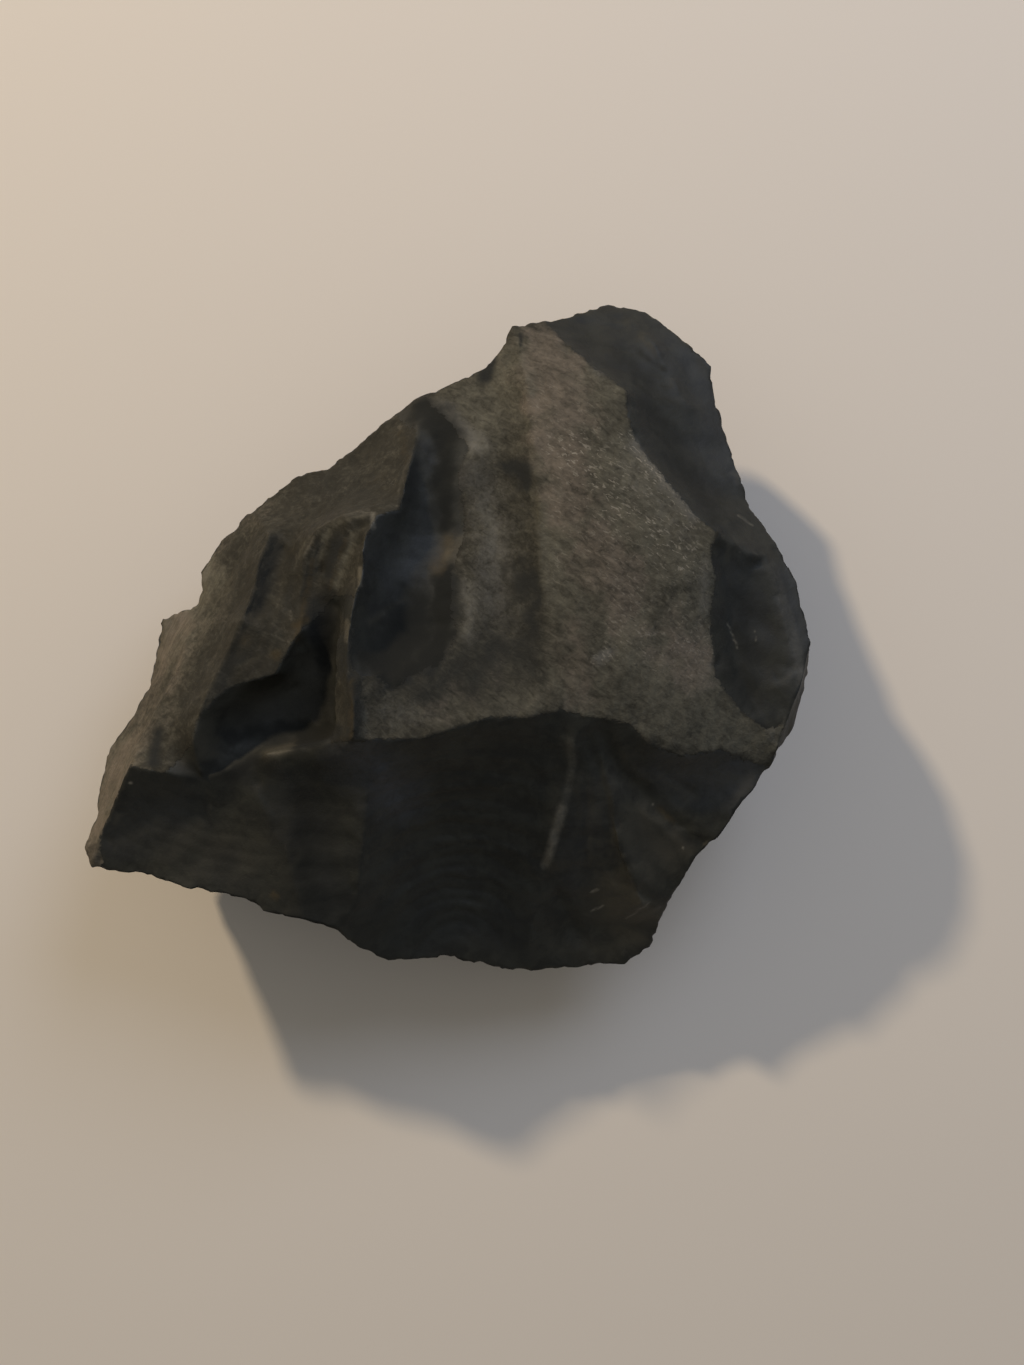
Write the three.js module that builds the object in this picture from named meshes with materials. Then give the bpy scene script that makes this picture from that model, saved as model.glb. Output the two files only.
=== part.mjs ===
// Hand specimen of psilomelane: one broken lump of massive, steely black manganese ore.
// Its outside is a patchwork of fracture faces that meet in sharp ridges, with one nearly
// level face and the left flank still covered by brown weathering crust.
//
// Millimetres, +Z up, resting on its flat underside at z = 0. X runs along the longest side.
//
// The lump is described by its ridge lines. Every face is bounded by stretches of those
// lines and is filled with a fine net of triangles that is dished inwards as the shell-shaped
// fractures of this mineral are.

import * as THREE from 'three';
import { mergeVertices } from 'three/addons/utils/BufferGeometryUtils.js';
import { ImprovedNoise } from 'three/addons/math/ImprovedNoise.js';

// ---------------------------------------------------------------------------
// Driving sizes
// ---------------------------------------------------------------------------

const stoneLength = 54.5;     // overall size along X; everything below scales with it
const upperStep = 0.95;       // side of a net triangle on the upper faces
const lowerStep = 1.4;        // side of a net triangle on the flanks and the underside
const footStep = 3.5;         // step along the outline of the resting face
const padEdge = 20;           // ground lines longer than this stay in one piece
const netClearance = 0.62;    // gap between an outline and the net points inside it, in steps
const ridgeRag = 0.16;        // how far a ridge line wanders from straight
const footRag = 0.48;         // how far the outline of the resting face wanders
const ragLength = 2.2;        // distance over which both wander
const plainGrit = 0.08;       // height of the low bumps on an ordinary face
const gritLength = 2.6;       // distance between these bumps
const ribWobble = 2;          // how strongly the bumps push the ribs of a face aside, in radians
const ridgeMargin = 0.25;     // share of the dish over which bumps and waves fade in from a ridge
const relaxRounds = 500;      // rounds of averaging that stretch a face between its ridges
const flankLean = 2;          // how far the flanks look downwards as well as outwards
const weldGap = 0.0001;       // corners closer together than this are one corner
const hair = 1e-6;            // anything smaller counts as nothing

// ---------------------------------------------------------------------------
// Ridge lines, as corner points [x, y, z]
// ---------------------------------------------------------------------------

// The widest outline of the lump, clockwise from the pointed left end as seen from above.
const rim = [
  [-27.5, -16, 15], [-27, -13.5, 13.5], [-26.5, -8.5, 12], [-25, -6.5, 11.5],
  [-23.5, -3.5, 11], [-23, -1, 11], [-22.5, 1.5, 11.5], [-19.5, 2.5, 12],
  [-19.5, 5, 11.5], [-18, 7.5, 11], [-15.5, 10, 11], [-12, 12.5, 11.5],
  [-9.5, 13, 12], [-7, 15, 12], [-4.5, 17, 12.5], [-3, 18, 13],
  [-1.5, 18.5, 13.5], [2, 20, 14], [3.5, 21.5, 14], [4.5, 23.5, 13.5],
  [7, 24, 13], [9.5, 25, 11.5], [12, 26, 10], [15, 25.5, 10],
  [18, 23, 10.5], [20, 21, 11], [20, 20, 11], [21, 15, 12],
  [22, 12, 13], [22.5, 10, 13], [24.5, 7, 13.5], [26, 4, 14],
  [27, -0.5, 14.5], [27, -3.5, 12.5], [26, -7, 12.5], [24, -10, 13.5],
  [22, -12.5, 13.5], [20, -15.5, 13], [18.5, -17, 12.2], [17.5, -19, 11.4],
  [16.5, -21, 10.4], [15.5, -24.5, 8.2], [13.5, -26, 8], [11.5, -26, 8],
  [6, -26.5, 8.5], [3.5, -26, 9.5], [0, -25, 10.5], [-5, -25, 12],
  [-7.5, -23.5, 13.5], [-8.5, -22, 15], [-11, -21, 16], [-14, -20.5, 15.5],
  [-15.5, -19.5, 15.5], [-19, -19, 15.5], [-22.5, -18, 15], [-26, -17.5, 15],
  [-27, -17.5, 14.5],
];

// The left flank: a strip with a sharp inner edge and a crease down its middle.
const stripFoot = [[-26, -15, 16], [-24.5, -12, 17.5], [-23, -9.5, 19]];
const slabEdge = [[-20.5, -10, 19], [-18, -10.5, 17.8]];
const stripEdge = [
  [-18.5, -8, 20], [-18, -6, 20], [-17, -3.5, 19.5], [-16, -1.5, 19],
  [-15, 1, 19], [-14.5, 2.5, 18], [-14, 5.5, 17], [-13.5, 7.5, 16],
];
const stripCrease = [[-20, -1, 14.5], [-21.5, -5, 16], [-23, -8.5, 17.5]];
const gully = [[-12.5, 6.5, 15.5], [-13, 3.5, 16.5], [-14, 1.5, 17.5]];

// The crest, the highest ridge, from its upper end down to the summit at the front.
const crest = [
  [-2.5, 15, 16], [-3, 12, 18], [-3.5, 9, 19], [-5, 8.5, 20], [-6, 6.5, 21],
  [-6, 4, 21.5], [-6.5, 2.5, 21.5], [-7, 0, 22], [-7, -3, 22.5],
  [-6.5, -5, 23], [-6.5, -7.5, 23.5],
];

// Steps between the shoulder and the crest, where thin plates have split off.
const shoulder = [
  [-7.7, 8.5, 19.4], [-9.5, 7.5, 18.8], [-10.6, 5.6, 18.4], [-10.7, 3, 18.4], [-10.5, 0.5, 19],
];
const lowerGroove = [[-7.4, 8.1, 19.7], [-9.1, 5.4, 18], [-9.9, 3, 17.7]];
const rib = [[-6.7, 8.2, 19.9], [-8.2, 5.4, 19.1], [-9, 2.9, 18.7]];
const upperGroove = [[-5.9, 8.3, 20], [-7.3, 5.4, 19.1], [-8, 2.9, 18.7]];

// The dark hollow in front of the shoulder, the ledge below it and the slabs in front.
const hollowRim = [[-11.5, -1, 19], [-12.5, -3, 19], [-15, -3.5, 19], [-17, -5, 19.5]];
const hollowWall = [[-7.5, 1.5, 20.5], [-8, -1, 20.5], [-8, -5, 21], [-8, -7.5, 21.5]];
const hollowToe = [
  [-8.2, 1.2, 17.8], [-8.3, -1.1, 17], [-8.3, -5, 16.5], [-8.4, -7.1, 16.3], [-10.8, -7.7, 16.3],
  [-13.6, -8.1, 16.4], [-15.4, -8.8, 16.8],
];
const ledge = [[-10.5, -8, 20], [-13.5, -8.5, 19], [-14.5, -9, 17.6]];
const ledgeLip = [[-8, -8.5, 21], [-10.5, -9, 19.5], [-13, -9.5, 18.5]];
const slabSeam = [[-14, -12, 17.5], [-12.5, -14.5, 17], [-11.5, -18, 16.5]];
const frontSeam = [[-5, -10, 20], [-6, -12, 18.5], [-6.5, -16, 17], [-7, -19.5, 15.5]];

// The two big front scars, the ridge between them and the splits in the right one.
const crustFoot = [
  [-6, -7.5, 22.5], [-2, -7.5, 21], [3, -6, 20], [6, -6, 19.5], [8, -5.5, 19],
  [10, -6, 18.5], [13, -6.5, 18], [14.5, -8, 17.5], [17, -9, 16.5], [20, -8.5, 15.5],
];
const frontRidge = [
  [9, -8, 18], [9, -9.5, 17], [8, -12.5, 15.5], [7.5, -16, 14], [6.5, -18.5, 12.5],
  [6, -22.5, 10.5],
];
const cornerSplit = [[11, -8.5, 17], [14, -12.5, 14.3], [17, -14.5, 13.2]];
const cornerCrease = [[12, -12.5, 15.8], [12.5, -16, 14.2], [14.5, -20.5, 12.1]];

// The right margin of the level crust face and the fresh chips outside it.
const crustEdge = [
  [8.5, 22, 14.5], [10.5, 20, 15.5], [13, 18, 16.5], [13, 16, 17], [14, 13.5, 17],
  [16, 11, 17.5], [18, 8.5, 17.5], [19.5, 7.5, 17.5], [19, 6, 17.5], [19.5, 4, 17],
  [19, 1.5, 17], [19.5, -3, 16.5], [20.5, -4.5, 16], [22, -6, 15.5], [23.5, -7, 15],
  [25, -6.5, 15],
];
const bandLine = [[15, 23, 12], [16.5, 20.5, 12.5], [17.5, 18, 13]];
const chipLine = [[22, 6, 16], [23.5, 6, 15], [24.5, 2.5, 15], [25.5, -2, 15]];
const lip = [[26, -4, 15], [24.5, -8.5, 14.5]];

// Folds of the level face and the bowl between it and the crest.
const crustCrease = [
  [5.5, 19, 16], [6, 14, 17.5], [6.5, 9.5, 18], [6.5, 5.5, 18.5], [7, 1.5, 19], [7, -2, 19],
];
const valley = [[1.5, 14.5, 16], [3, 9, 16.5], [3.5, 4.5, 17], [3.5, 0.5, 18]];
const bowlRim = [
  [1, 14, 16], [0.5, 12, 16.5], [1, 9, 17], [1, 7, 17], [0, 4.5, 18], [0, 2, 18.5],
  [0.5, 0, 19], [-0.5, -2, 19.5], [-2.5, -3, 20.5], [-4, -4, 21], [-5, -3, 21.5],
];
const bowlFloor = [
  [-0.5, 14.5, 15.6], [-0.4, 11, 16], [-0.7, 7, 16.4], [-1.2, 4.5, 16.9], [-1.6, 2.4, 17.4],
  [-1, -0.5, 18.3],
];
const bowlSpur = [[-5.8, 1, 20.3], [-4, 1.8, 18.8]];
const crestFoot = [[-6, -3, 22], [-6, -5, 22]];
const topChip = [[0, 17, 15]];

// Knuckles part of the way down the flanks, where the scars of the flanks meet.
const knuckle = {
  prow: [-25, -15.5, 5], left: [-22.5, -7, 8], notch: [-19, 0.5, 5.5], backLeft: [-10.5, 8.5, 3],
  back: [-3, 14, 7], top: [8, 21, 5], backRight: [16.5, 14, 3], right: [22, 5.5, 8],
  lip: [22.5, -5.5, 4], corner: [18.5, -15, 6], front: [11.5, -21.5, 2.5],
  frontLeft: [-13, -19.5, 9], keel: [-19, -15.5, 2.5],
};

// The outline of the flat resting face.
const foot = {
  left: [-17, -6.5, 0], notch: [-13, 0.5, 0], back: [-3, 6.5, 0], top: [8, 10.5, 0],
  right: [15.5, 4, 0], lip: [17, -6, 0], front: [12, -15, 0], middle: [0, -16.5, 0],
  keel: [-11, -13.5, 0],
};

// ---------------------------------------------------------------------------
// Faces: the corners round each one, how deep it is dished and how rough it is
// ---------------------------------------------------------------------------

const back = (line, from = line.length - 1, to = 0) => line.slice(to, from + 1).reverse();
const upper = [];
const lower = [];
const ground = [];

// Weathering crust: the level face with its fold, valley and the band under the bowl.
upper.push(
  {
    round: [rim[19], rim[20], ...crustEdge, lip[1], rim[35], ...back(crustFoot, 9, 3),
      ...back(crustCrease)],
    dish: -0.9, grit: 0.16,
  },
  {
    round: [...rim.slice(16, 20), ...crustCrease.slice(0, 5), ...back(valley), topChip[0]],
    dish: 0.5, grit: 0.14,
  },
  { round: [...valley, ...back(bowlRim, 7, 0)], dish: -0.2, grit: 0.12 },
  {
    round: [...crustFoot.slice(0, 4), crustCrease[5], crustCrease[4], valley[3],
      ...bowlRim.slice(7), ...crestFoot],
    dish: 0.35, grit: 0.14,
  },
);

// The bowl, its rims and the flank of the crest that looks into it.
upper.push(
  { round: [rim[15], rim[16], topChip[0], valley[0], bowlRim[0], bowlFloor[0], crest[0]], dish: 0.3 },
  { round: [...crest.slice(0, 8), ...bowlSpur, ...back(bowlFloor, 4, 0)], dish: 0.9 },
  { round: [...bowlFloor, ...back(bowlRim, 7, 0)], dish: 0.5 },
  {
    round: [crest[7], crest[8], crestFoot[0], ...back(bowlRim, 10, 7), bowlFloor[5], bowlFloor[4],
      ...back(bowlSpur)],
    dish: 0.9,
  },
  { round: [crest[8], crest[9], crest[10], crustFoot[0], ...back(crestFoot)], dish: 0.05 },
);

// The brown shoulder on the left of the crest, with its gully and split plates.
upper.push(
  {
    round: [stripEdge[7], ...rim.slice(10, 16), ...crest.slice(0, 4), upperGroove[0], rib[0],
      lowerGroove[0], shoulder[0], shoulder[1], gully[0]],
    dish: 0.7, grit: 0.2, ribs: { along: [0.55, 0.83], every: 3.2, height: 0.12 },
  },
  {
    round: [gully[0], ...shoulder.slice(1), ...hollowRim.slice(0, 3), stripEdge[3], stripEdge[4],
      ...back(gully, 2, 1)],
    dish: 0.3, grit: 0.2, ribs: { along: [0.35, 0.94], every: 2.6, height: 0.15 },
  },
  { round: [stripEdge[7], ...gully, ...stripEdge.slice(4, 7)], dish: 0.1 },
  { round: [...shoulder.slice(0, 4), ...back(lowerGroove)], dish: 0.05 },
  { round: [...lowerGroove, ...back(rib)], dish: 0.05 },
  { round: [...rib, ...back(upperGroove)], dish: 0.05 },
  { round: [...upperGroove, ...back(crest, 6, 3)], dish: 0.15 },
);

// The left flank strip, split by its crease, and the rounded end of the point.
upper.push(
  {
    round: [...rim.slice(0, 8), ...stripCrease, ...back(stripFoot)],
    dish: 0.3, grit: 0.16, ribs: { along: [0.45, 0.89], every: 1.9, height: 0.14 },
  },
  {
    round: [...rim.slice(7, 11), ...back(stripEdge), slabEdge[1], slabEdge[0], stripFoot[2],
      ...back(stripCrease)],
    dish: 0.4, grit: 0.16, ribs: { along: [0.45, 0.89], every: 2.1, height: 0.14 },
  },
  { round: [rim[0], stripFoot[0], rim[55], rim[56]], dish: -0.3 },
);

// The hollow with its bluish rim, the ledge and the wall of the crest beside it.
upper.push(
  { round: [stripEdge[3], hollowRim[2], hollowRim[3], stripEdge[1], stripEdge[2]], dish: 0.2 },
  {
    round: [stripEdge[1], ...back(hollowRim), shoulder[4], shoulder[3], lowerGroove[2], rib[2],
      upperGroove[2], ...hollowToe, slabEdge[1], stripEdge[0]],
    dish: 1.5, grit: 0.25,
  },
  { round: [upperGroove[2], crest[6], ...hollowWall, ...back(hollowToe, 3)], dish: 0.25 },
  { round: [hollowWall[3], ...ledge, slabEdge[1], ...back(hollowToe, 6, 3)], dish: 0.2 },
  { round: [ledge[1], ledge[0], hollowWall[3], ...ledgeLip], dish: 0.05 },
  { round: [...crest.slice(6), ledgeLip[0], ...back(hollowWall)], dish: 0.1 },
);

// The slabs at the lower left and the two big front scars.
upper.push(
  {
    round: [...stripFoot, ...slabEdge, ledge[2], ...slabSeam, ...rim.slice(50, 56)],
    dish: 0.9, waves: { from: [-27, -9, 17], every: 2.4, height: 0.1 },
  },
  {
    round: [ledge[2], ledge[1], ledgeLip[2], ledgeLip[1], ledgeLip[0], crest[10], crustFoot[0],
      crustFoot[1], ...frontSeam, ...rim.slice(48, 51), ...back(slabSeam)],
    dish: 0.8, grit: 0.16, waves: { from: [-9, -4, 18], every: 2.4, height: 0.1 },
  },
  {
    round: [...crustFoot.slice(1, 5), ...frontRidge, ...rim.slice(44, 49), ...back(frontSeam)],
    dish: 1.9, waves: { from: [1, -27, 12], every: 2.6, height: 0.13 },
  },
  {
    round: [crustFoot[4], crustFoot[5], cornerSplit[0], ...cornerCrease, ...rim.slice(40, 45),
      ...back(frontRidge)],
    dish: 1.1, grit: 0.14, waves: { from: [10, -5, 18], every: 3, height: 0.1 },
  },
  { round: [...cornerSplit, ...rim.slice(37, 41), ...back(cornerCrease)], dish: 0.5, grit: 0.12 },
  {
    round: [...crustFoot.slice(5), rim[35], rim[36], rim[37], ...back(cornerSplit)],
    dish: 0.7, waves: { from: [18, -6, 17], every: 2.6, height: 0.08 },
  },
);

// The fresh band and chips outside the right margin of the level face.
upper.push(
  {
    round: [...rim.slice(20, 23), ...bandLine, ...rim.slice(27, 30), ...back(crustEdge, 7, 0)],
    dish: 0.8, waves: { from: [22, 26, 12], every: 3.2, height: 0.12 },
  },
  { round: [...rim.slice(22, 28), ...back(bandLine)], dish: 0.4 },
  { round: [crustEdge[7], rim[29], rim[30], chipLine[0]], dish: 0.15 },
  {
    round: [crustEdge[7], ...chipLine, lip[0], ...back(crustEdge, 15, 8)],
    dish: 0.8, waves: { from: [26, 8, 15], every: 2.8, height: 0.1 },
  },
  { round: [chipLine[0], ...rim.slice(30, 33), lip[0], ...back(chipLine, 3, 1)], dish: 0.25 },
  { round: [...rim.slice(32, 36), lip[1], crustEdge[15], lip[0]], dish: 0.1 },
);

// The scars of the flanks, clockwise from the pointed left end.
lower.push(
  { round: [...rim.slice(0, 4), knuckle.left, knuckle.prow], dish: 0.7, grit: 0.2 },
  { round: [...rim.slice(3, 8), knuckle.notch, knuckle.left], dish: 0.8, grit: 0.2 },
  { round: [...rim.slice(7, 11), knuckle.backLeft, knuckle.notch], dish: 0.8, grit: 0.2 },
  {
    round: [...rim.slice(10, 15), knuckle.back, knuckle.backLeft],
    dish: 1, waves: { from: [-12, 13, 12], every: 3.4, height: 0.12 },
  },
  {
    round: [...rim.slice(14, 20), knuckle.top, foot.top, foot.back, knuckle.back],
    dish: 1.5, waves: { from: [4, 24, 14], every: 3.4, height: 0.12 },
  },
  { round: [...rim.slice(19, 25), knuckle.backRight, knuckle.top], dish: 0.9 },
  {
    round: [...rim.slice(24, 30), knuckle.right, knuckle.backRight],
    dish: 1.2, waves: { from: [20, 21, 11], every: 3.4, height: 0.12 },
  },
  { round: [...rim.slice(29, 35), knuckle.lip, knuckle.right], dish: 1 },
  { round: [...rim.slice(34, 39), knuckle.corner, knuckle.lip], dish: 0.7, grit: 0.2 },
  { round: [...rim.slice(38, 42), knuckle.front, knuckle.corner], dish: 0.8 },
  { round: [...rim.slice(41, 47), foot.middle, foot.front, knuckle.front], dish: 1 },
  {
    round: [...rim.slice(46, 51), knuckle.frontLeft, foot.keel, foot.middle],
    dish: 1.6, waves: { from: [-7, -24, 14], every: 3.4, height: 0.12 },
  },
  {
    round: [...rim.slice(50), rim[0], knuckle.prow, knuckle.keel, knuckle.frontLeft],
    dish: 1.3, waves: { from: [-27, -17, 15], every: 3.4, height: 0.12 },
  },
);

// The undercuts from the knuckles in to the resting face.
lower.push(
  { round: [knuckle.prow, knuckle.left, foot.left], dish: 0.7 },
  { round: [knuckle.left, knuckle.notch, foot.notch, foot.left], dish: 0.6, grit: 0.2 },
  { round: [knuckle.notch, knuckle.backLeft, foot.back, foot.notch], dish: 0.6 },
  { round: [knuckle.backLeft, knuckle.back, foot.back], dish: 0.5 },
  { round: [knuckle.top, knuckle.backRight, foot.top], dish: 0.6, grit: 0.2 },
  { round: [knuckle.backRight, knuckle.right, foot.right, foot.top], dish: 0.8 },
  { round: [knuckle.right, knuckle.lip, foot.lip, foot.right], dish: 0.6, grit: 0.2 },
  { round: [knuckle.lip, knuckle.corner, foot.lip], dish: 0.4 },
  { round: [knuckle.corner, knuckle.front, foot.front, foot.lip], dish: 0.7 },
  { round: [knuckle.frontLeft, knuckle.keel, foot.keel], dish: 0.5 },
  { round: [knuckle.keel, knuckle.prow, foot.left, foot.keel], dish: 0.4, grit: 0.2 },
);

// The flat resting face: one large triangle and the three pieces round it.
ground.push(
  { round: [foot.left, foot.top, foot.front] },
  { round: [foot.left, foot.notch, foot.back, foot.top] },
  { round: [foot.top, foot.right, foot.lip, foot.front] },
  { round: [foot.front, foot.middle, foot.keel, foot.left] },
);

// ---------------------------------------------------------------------------
// Ridge lines between two corners
// ---------------------------------------------------------------------------

const noise = new ImprovedNoise();
const widestLevel = Math.min(...rim.map((corner) => corner[2]));

// How far a ridge point strays: three separate stretches of the same noise for x, y and z.
function wander(point) {
  const at = point.clone().divideScalar(ragLength);
  const [x, y, z] = [0, 7.3, 13.9].map((shift) => noise.noise(at.x + shift, at.y, at.z));
  return new THREE.Vector3(x, y, z);
}

// Points from corner a up to, but without, corner b. Both neighbours of a ridge get the same
// points, because they are always worked out from the lower-sorted corner to the other one.
function ridgePoints(a, b) {
  const swapped = a.join() > b.join();
  const start = new THREE.Vector3(...(swapped ? b : a));
  const end = new THREE.Vector3(...(swapped ? a : b));
  const length = start.distanceTo(end);
  const onGround = start.z === 0 && end.z === 0;
  const isUpper = Math.min(start.z, end.z) >= widestLevel;
  const step = isUpper ? upperStep : lowerStep;
  let count = Math.max(1, Math.round(length / step));
  if (onGround) {
    count = length > padEdge ? 1 : Math.ceil(length / footStep);
  }
  const points = [];
  for (let i = 0; i <= count; i += 1) {
    const along = i / count;
    const point = start.clone().lerp(end, along);
    const inside = i > 0 && i < count;
    if (inside) {
      const sway = wander(point).multiplyScalar(Math.min(1, length / (2 * step)));
      sway.multiplyScalar(onGround ? footRag : ridgeRag);
      sway.z = onGround ? 0 : sway.z;
      point.add(sway);
    }
    points.push(point);
  }
  if (swapped) {
    points.reverse();
  }
  return points.slice(0, -1);
}

function outlineOf(corners) {
  return corners.flatMap((corner, i) => ridgePoints(corner, corners[(i + 1) % corners.length]));
}

// ---------------------------------------------------------------------------
// Filling a flat outline with evenly sized triangles
// ---------------------------------------------------------------------------

const turn = (a, b, c) => (b.x - a.x) * (c.y - a.y) - (b.y - a.y) * (c.x - a.x);

// True where d lies inside the circle through a, b and c.
function insideCircle(a, b, c, d) {
  const [ax, ay, bx, by, cx, cy] = [a.x - d.x, a.y - d.y, b.x - d.x, b.y - d.y, c.x - d.x, c.y - d.y];
  const aa = ax * ax + ay * ay;
  const bb = bx * bx + by * by;
  const cc = cx * cx + cy * cy;
  const det = ax * (by * cc - bb * cy) - ay * (bx * cc - bb * cx) + aa * (bx * cy - by * cx);
  return det > hair;
}

function distanceToSegment(p, a, b) {
  const ab = b.clone().sub(a);
  const t = THREE.MathUtils.clamp(p.clone().sub(a).dot(ab) / ab.lengthSq(), 0, 1);
  return p.distanceTo(a.clone().addScaledVector(ab, t));
}

// A net of triangles on 2-D points, kept well shaped by swapping the diagonal of every pair
// that fails the circle test. Lines of the outline have one triangle only and stay.
class Net {
  constructor(outline) {
    this.points = outline.map((p) => p.clone());
    this.owners = new Map();
    this.triangles = THREE.ShapeUtils.triangulateShape(outline.map((p) => p.clone()), []);
    this.triangles.forEach(([a, b, c], index) => {
      const isLeft = turn(this.points[a], this.points[b], this.points[c]) > 0;
      this.set(index, isLeft ? [a, b, c] : [a, c, b]);
    });
    this.improve(this.triangles.flatMap(([a, b, c]) => [[a, b], [b, c], [c, a]]));
  }

  // Puts a triangle in place and notes it as the owner of its three directed sides.
  set(index, corners) {
    this.triangles[index] = corners;
    corners.forEach((corner, i) => {
      this.owners.set(`${corner},${corners[(i + 1) % 3]}`, index);
    });
  }

  improve(sides) {
    const p = this.points;
    while (sides.length) {
      const [a, b] = sides.pop();
      const one = this.owners.get(`${a},${b}`);
      const two = this.owners.get(`${b},${a}`);
      if (one === undefined || two === undefined) {
        continue;
      }
      const c = this.triangles[one].find((i) => i !== a && i !== b);
      const d = this.triangles[two].find((i) => i !== a && i !== b);
      const convex = turn(p[c], p[a], p[d]) > hair && turn(p[d], p[b], p[c]) > hair;
      if (!convex || !insideCircle(p[a], p[b], p[c], p[d])) {
        continue;
      }
      this.owners.delete(`${a},${b}`);
      this.owners.delete(`${b},${a}`);
      this.set(one, [a, d, c]);
      this.set(two, [d, b, c]);
      sides.push([a, d], [d, b], [b, c], [c, a]);
    }
  }

  add(point) {
    const p = this.points;
    const home = this.triangles.findIndex(([a, b, c]) => (
      turn(p[a], p[b], point) > hair && turn(p[b], p[c], point) > hair && turn(p[c], p[a], point) > hair
    ));
    if (home < 0) {
      return;
    }
    const [a, b, c] = this.triangles[home];
    const middle = p.push(point) - 1;
    this.set(home, [a, b, middle]);
    this.set(this.triangles.length, [b, c, middle]);
    this.set(this.triangles.length, [c, a, middle]);
    this.improve([[a, b], [b, c], [c, a]]);
  }
}

// Adds staggered rows of points inside the outline, clear of its lines.
function fillNet(outline, step) {
  const net = new Net(outline);
  const box = new THREE.Box2().setFromPoints(outline);
  const rowHeight = step * Math.sqrt(3) / 2;
  const clearance = step * netClearance;
  let row = 0;
  for (let y = box.min.y; y < box.max.y; y += rowHeight) {
    for (let x = box.min.x + (row % 2) * step / 2; x < box.max.x; x += step) {
      const point = new THREE.Vector2(x, y);
      const isClear = outline.every((a, i) => (
        distanceToSegment(point, a, outline[(i + 1) % outline.length]) > clearance
      ));
      if (isClear) {
        net.add(point);
      }
    }
    row += 1;
  }
  return net;
}

// ---------------------------------------------------------------------------
// A face: its net lifted into space, stretched between the ridges and dished
// ---------------------------------------------------------------------------

function faceNormal(loop) {
  const normal = new THREE.Vector3();
  loop.forEach((p, i) => {
    const q = loop[(i + 1) % loop.length];
    normal.x += (p.y - q.y) * (p.z + q.z);
    normal.y += (p.z - q.z) * (p.x + q.x);
    normal.z += (p.x - q.x) * (p.y + q.y);
  });
  return normal.normalize();
}

// Averages each inner value with its neighbours, with a steady push, until it settles.
function settle(values, neighbours, fixedCount, push) {
  for (let round = 0; round < relaxRounds; round += 1) {
    for (let i = fixedCount; i < values.length; i += 1) {
      let sum = 0;
      for (const j of neighbours[i]) {
        sum += values[j];
      }
      values[i] = sum / neighbours[i].size + push;
    }
  }
}

function makeFace({ round, dish = 0, grit = plainGrit, waves, ribs }, step, outward) {
  let loop = outlineOf(round);
  let normal = faceNormal(loop);
  const centre = loop.reduce((sum, p) => sum.add(p), new THREE.Vector3()).divideScalar(loop.length);
  if (normal.dot(outward(centre)) < 0) {
    loop = loop.reverse();
    normal = normal.negate();
  }
  const along = loop[1].clone().sub(loop[0]).projectOnPlane(normal).normalize();
  const across = normal.clone().cross(along);
  const flat = loop.map((p) => {
    const fromCentre = p.clone().sub(centre);
    return new THREE.Vector2(fromCentre.dot(along), fromCentre.dot(across));
  });
  const net = fillNet(flat, step);
  const neighbours = net.points.map(() => new Set());
  for (const [a, b, c] of net.triangles) {
    neighbours[a].add(b).add(c);
    neighbours[b].add(a).add(c);
    neighbours[c].add(a).add(b);
  }
  const height = net.points.map(() => 0);
  loop.forEach((p, i) => {
    height[i] = p.clone().sub(centre).dot(normal);
  });
  settle(height, neighbours, loop.length, 0);
  const bowl = net.points.map(() => 0);
  settle(bowl, neighbours, loop.length, 1);
  const deepest = Math.max(...bowl, hair);
  return {
    triangles: net.triangles,
    points: net.points.map((p, i) => {
      if (i < loop.length) {
        return loop[i];
      }
      const depth = bowl[i] / deepest;
      const fade = Math.min(1, depth / ridgeMargin);
      const point = centre.clone()
        .addScaledVector(along, p.x)
        .addScaledVector(across, p.y)
        .addScaledVector(normal, height[i]);
      const bump = noise.noise(point.x / gritLength, point.y / gritLength, point.z / gritLength);
      let lift = -dish * depth + grit * fade * bump;
      if (waves) {
        const reach = point.distanceTo(new THREE.Vector3(...waves.from));
        lift += waves.height * fade * Math.sin(2 * Math.PI * reach / waves.every);
      }
      if (ribs) {
        const side = point.x * ribs.along[1] - point.y * ribs.along[0];
        lift += ribs.height * fade * Math.sin(2 * Math.PI * side / ribs.every + ribWobble * bump);
      }
      return point.addScaledVector(normal, lift);
    }),
  };
}

// ---------------------------------------------------------------------------
// The lump
// ---------------------------------------------------------------------------

function buildStone() {
  const up = () => new THREE.Vector3(0, 0, 1);
  const down = () => new THREE.Vector3(0, 0, -1);
  const sideways = (centre) => new THREE.Vector3(centre.x, centre.y, -flankLean);
  const faces = [
    ...upper.map((face) => makeFace(face, upperStep, up)),
    ...lower.map((face) => makeFace(face, lowerStep, sideways)),
    ...ground.map((face) => makeFace(face, stoneLength, down)),
  ];
  const positions = [];
  for (const face of faces) {
    for (const triangle of face.triangles) {
      for (const i of triangle) {
        positions.push(...face.points[i].toArray());
      }
    }
  }
  const geometry = new THREE.BufferGeometry();
  geometry.setAttribute('position', new THREE.Float32BufferAttribute(positions, 3));
  geometry.computeBoundingBox();
  const size = geometry.boundingBox.getSize(new THREE.Vector3());
  const middle = geometry.boundingBox.getCenter(new THREE.Vector3());
  geometry.translate(-middle.x, -middle.y, -geometry.boundingBox.min.z);
  const scale = stoneLength / size.x;
  geometry.scale(scale, scale, scale);
  const stone = mergeVertices(geometry, weldGap);
  stone.computeVertexNormals();
  return stone;
}

const manganeseOre = new THREE.MeshStandardMaterial({
  name: 'weathered manganese ore',
  color: 0x35322e,
  roughness: 0.62,
  metalness: 0.0,
  flatShading: true,
});

const stone = new THREE.Mesh(buildStone(), manganeseOre);
stone.name = 'stone';

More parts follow.
